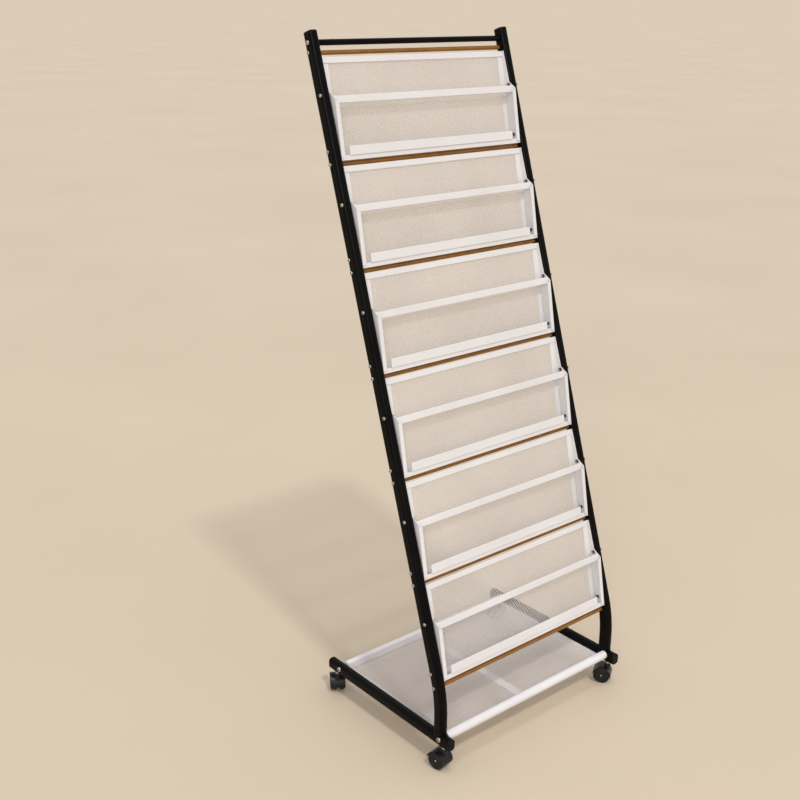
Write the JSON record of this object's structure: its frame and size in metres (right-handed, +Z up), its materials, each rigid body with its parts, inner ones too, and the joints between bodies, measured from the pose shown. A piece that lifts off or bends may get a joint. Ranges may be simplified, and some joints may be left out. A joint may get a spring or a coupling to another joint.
{
  "type": "newspaper rack",
  "caption": "Mobile newspaper rack: posts leaning back from a caster base carry a stack of open-fronted mesh pockets above a mesh base shelf.",
  "frame": {"origin": "centre of the overall box's underside, on the floor between the casters, with every joint at zero", "axes": "+Z up, -Y is the front the pockets open to, +X runs from the left post to the right post"},
  "size_m": [0.5554, 0.4706, 1.4443],
  "materials": {
    "black_gloss": "gloss black paint on steel tube",
    "black_cap": "moulded, semi-gloss",
    "white_powder": "satin white powder coat",
    "white_mesh": "white powder coat on expanded diamond mesh",
    "bronze_rod": "satin bronze-brown coat",
    "zinc": "bright zinc plate",
    "dark_steel": "dark plated nuts",
    "caster_hood": "moulded nylon, semi-gloss",
    "caster_wheel": "moulded nylon, satin"
  },
  "bodies": {
    "rack": {"left_post": "black_gloss", "right_post": "black_gloss", "left_foot_rail": "black_gloss", "right_foot_rail": "black_gloss", "top_crossbar": "black_gloss", "post_end_caps": "black_cap", "foot_end_caps": "black_cap", "tie_rods": "bronze_rod", "pocket_1_left_plate": "white_powder", "pocket_1_right_plate": "white_powder", "pocket_1_rails": "white_powder", "pocket_1_mesh": "white_mesh", "pocket_2_left_plate": "white_powder", "pocket_2_right_plate": "white_powder", "pocket_2_rails": "white_powder", "pocket_2_mesh": "white_mesh", "pocket_3_left_plate": "white_powder", "pocket_3_right_plate": "white_powder", "pocket_3_rails": "white_powder", "pocket_3_mesh": "white_mesh", "pocket_4_left_plate": "white_powder", "pocket_4_right_plate": "white_powder", "pocket_4_rails": "white_powder", "pocket_4_mesh": "white_mesh", "pocket_5_left_plate": "white_powder", "pocket_5_right_plate": "white_powder", "pocket_5_rails": "white_powder", "pocket_5_mesh": "white_mesh", "pocket_6_left_plate": "white_powder", "pocket_6_right_plate": "white_powder", "pocket_6_rails": "white_powder", "pocket_6_mesh": "white_mesh", "shelf_front_tube": "white_powder", "shelf_rear_rail": "white_powder", "shelf_side_strips": "white_powder", "shelf_strut": "white_powder", "shelf_mesh": "white_mesh", "caster_stems": "zinc", "pocket_screws": "zinc", "pocket_nuts": "dark_steel", "tie_rod_screws": "zinc", "crossbar_screws": "zinc", "shelf_bolts": "zinc"},
    "left_front_swivel": {"left_front_caster_hood": "caster_hood", "left_front_caster_axle": "zinc"},
    "left_front_left_wheel": {"left_front_caster_left_wheel": "caster_wheel"},
    "left_front_right_wheel": {"left_front_caster_right_wheel": "caster_wheel"},
    "right_front_swivel": {"right_front_caster_hood": "caster_hood", "right_front_caster_axle": "zinc"},
    "right_front_left_wheel": {"right_front_caster_left_wheel": "caster_wheel"},
    "right_front_right_wheel": {"right_front_caster_right_wheel": "caster_wheel"},
    "left_rear_swivel": {"left_rear_caster_hood": "caster_hood", "left_rear_caster_axle": "zinc"},
    "left_rear_left_wheel": {"left_rear_caster_left_wheel": "caster_wheel"},
    "left_rear_right_wheel": {"left_rear_caster_right_wheel": "caster_wheel"},
    "right_rear_swivel": {"right_rear_caster_hood": "caster_hood", "right_rear_caster_axle": "zinc"},
    "right_rear_left_wheel": {"right_rear_caster_left_wheel": "caster_wheel"},
    "right_rear_right_wheel": {"right_rear_caster_right_wheel": "caster_wheel"}
  },
  "joints": [
    {"name": "left_front_caster_swivel", "type": "hinge", "parent": "rack", "child": "left_front_swivel", "pos_m": [-0.2565, -0.213, 0.045], "axis": [0, 0, 1], "continuous": true},
    {"name": "left_front_left_wheel_spin", "type": "hinge", "parent": "left_front_swivel", "child": "left_front_left_wheel", "pos_m": [-0.25803, -0.20211, 0.019], "axis": [0.9903, 0.1392, 0], "continuous": true},
    {"name": "left_front_right_wheel_spin", "type": "hinge", "parent": "left_front_swivel", "child": "left_front_right_wheel", "pos_m": [-0.25803, -0.20211, 0.019], "axis": [0.9903, 0.1392, 0], "continuous": true},
    {"name": "right_front_caster_swivel", "type": "hinge", "parent": "rack", "child": "right_front_swivel", "pos_m": [0.2565, -0.213, 0.045], "axis": [0, 0, 1], "continuous": true},
    {"name": "right_front_left_wheel_spin", "type": "hinge", "parent": "right_front_swivel", "child": "right_front_left_wheel", "pos_m": [0.25051, -0.20377, 0.019], "axis": [0.8387, 0.5446, 0], "continuous": true},
    {"name": "right_front_right_wheel_spin", "type": "hinge", "parent": "right_front_swivel", "child": "right_front_right_wheel", "pos_m": [0.25051, -0.20377, 0.019], "axis": [0.8387, 0.5446, 0], "continuous": true},
    {"name": "left_rear_caster_swivel", "type": "hinge", "parent": "rack", "child": "left_rear_swivel", "pos_m": [-0.2565, 0.148, 0.045], "axis": [0, 0, 1], "continuous": true},
    {"name": "left_rear_left_wheel_spin", "type": "hinge", "parent": "left_rear_swivel", "child": "left_rear_left_wheel", "pos_m": [-0.25051, 0.15723, 0.019], "axis": [0.8387, -0.5446, 0], "continuous": true},
    {"name": "left_rear_right_wheel_spin", "type": "hinge", "parent": "left_rear_swivel", "child": "left_rear_right_wheel", "pos_m": [-0.25051, 0.15723, 0.019], "axis": [0.8387, -0.5446, 0], "continuous": true},
    {"name": "right_rear_caster_swivel", "type": "hinge", "parent": "rack", "child": "right_rear_swivel", "pos_m": [0.2565, 0.148, 0.045], "axis": [0, 0, 1], "continuous": true},
    {"name": "right_rear_left_wheel_spin", "type": "hinge", "parent": "right_rear_swivel", "child": "right_rear_left_wheel", "pos_m": [0.25803, 0.15889, 0.019], "axis": [0.9903, -0.1392, 0], "continuous": true},
    {"name": "right_rear_right_wheel_spin", "type": "hinge", "parent": "right_rear_swivel", "child": "right_rear_right_wheel", "pos_m": [0.25803, 0.15889, 0.019], "axis": [0.9903, -0.1392, 0], "continuous": true}
  ]
}
